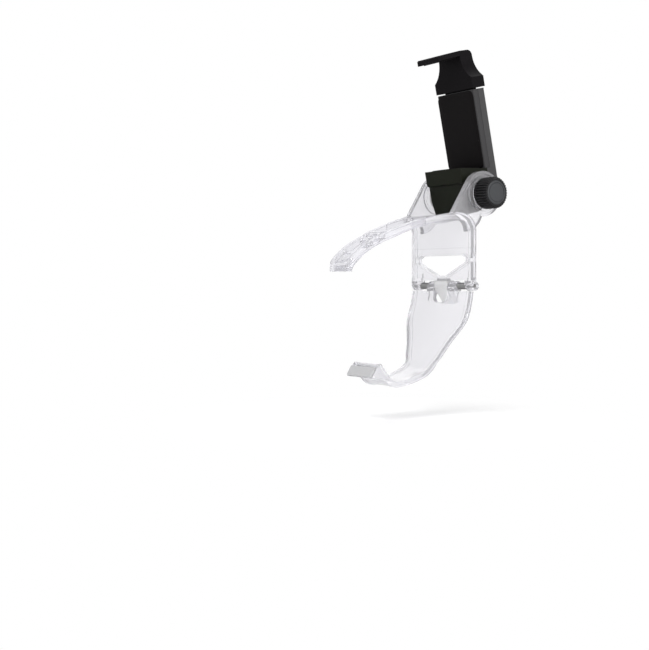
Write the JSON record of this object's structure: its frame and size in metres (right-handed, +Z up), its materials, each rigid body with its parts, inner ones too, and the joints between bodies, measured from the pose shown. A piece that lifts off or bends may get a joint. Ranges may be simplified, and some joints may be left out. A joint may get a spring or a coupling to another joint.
{
  "type": "controller phone clip",
  "caption": "Clear sprung clip that grips a game controller from behind and carries a black sprung phone clamp on a tilting bolt with a knurled hand knob.",
  "frame": {"origin": "middle of the hinge pin between the bracket and the hook", "axes": "+X along the hinge pin towards the knob, +Z up towards the phone clamp, -Y forwards, where the arm and the hook reach over and under the controller"},
  "size_m": [0.0529, 0.0948, 0.1732],
  "materials": {
    "upper_bracket": "clear moulded polycarbonate, polished",
    "lower_hook": "clear moulded polycarbonate, polished",
    "arm_pad": "clear soft silicone",
    "hinge_pin": "plain turned steel",
    "torsion_spring_right": "plain drawn wire",
    "torsion_spring_left": "plain drawn wire",
    "hook_pad": "soft matt silicone",
    "pivot_washer_right": "pale grey friction rubber",
    "pivot_washer_left": "pale grey friction rubber",
    "pivot_nut": "zinc plated",
    "pivot_bolt": "zinc plated",
    "knob": "satin moulded, fine knurl",
    "knob_cap": "satin smooth disc",
    "lower_jaw": "fine satin moulded ABS",
    "rear_shell": "satin moulded ABS",
    "front_cover": "fine satin moulded ABS",
    "sliding_jaw": "fine satin moulded ABS",
    "phone_pad": "thin matt foam rubber",
    "lower_jaw_pad": "thin matt foam rubber",
    "upper_jaw_pad": "thin matt foam rubber",
    "jaw_spring_right": "plain drawn wire",
    "jaw_spring_left": "plain drawn wire",
    "screw_right_low": "blackened pan head",
    "screw_right_high": "blackened pan head",
    "screw_left_low": "blackened pan head",
    "screw_left_high": "blackened pan head"
  },
  "bodies": {
    "upper_bracket": {"upper_bracket": "upper_bracket", "hinge_pin": "hinge_pin", "torsion_spring_right": "torsion_spring_right", "torsion_spring_left": "torsion_spring_left", "arm_pad": "arm_pad", "pivot_nut": "pivot_nut", "pivot_washer_right": "pivot_washer_right", "pivot_washer_left": "pivot_washer_left"},
    "lower_hook": {"lower_hook": "lower_hook", "hook_pad": "hook_pad"},
    "phone_holder": {"lower_jaw": "lower_jaw", "lower_jaw_pad": "lower_jaw_pad", "rear_shell": "rear_shell", "front_cover": "front_cover", "phone_pad": "phone_pad", "jaw_spring_right": "jaw_spring_right", "jaw_spring_left": "jaw_spring_left", "screw_right_low": "screw_right_low", "screw_right_high": "screw_right_high", "screw_left_low": "screw_left_low", "screw_left_high": "screw_left_high"},
    "sliding_jaw": {"sliding_jaw": "sliding_jaw", "upper_jaw_pad": "upper_jaw_pad"},
    "knob": {"knob": "knob", "knob_cap": "knob_cap", "pivot_bolt": "pivot_bolt"}
  },
  "joints": [
    {"name": "hook_swing", "type": "hinge", "parent": "upper_bracket", "child": "lower_hook", "pos_m": [0, 0, 0], "axis": [1, 0, 0], "range_deg": [0, 22], "stiffness_Nm_per_rad": 0.25, "springref_deg": -45.84, "deforming": ["torsion_spring_right", "torsion_spring_left"]},
    {"name": "holder_tilt", "type": "hinge", "parent": "upper_bracket", "child": "phone_holder", "pos_m": [0, 0.0099, 0.0475], "axis": [1, 0, 0], "range_deg": [-60, 50]},
    {"name": "jaw_slide", "type": "slide", "parent": "phone_holder", "child": "sliding_jaw", "axis": [0, -0.213, 0.977], "range_m": [0, 0.028], "stiffness_N_per_m": 300, "springref_m": -0.02, "deforming": ["jaw_spring_right", "jaw_spring_left"]},
    {"name": "knob_turn", "type": "hinge", "parent": "upper_bracket", "child": "knob", "pos_m": [0, 0.0099, 0.0475], "axis": [1, 0, 0], "continuous": true}
  ]
}
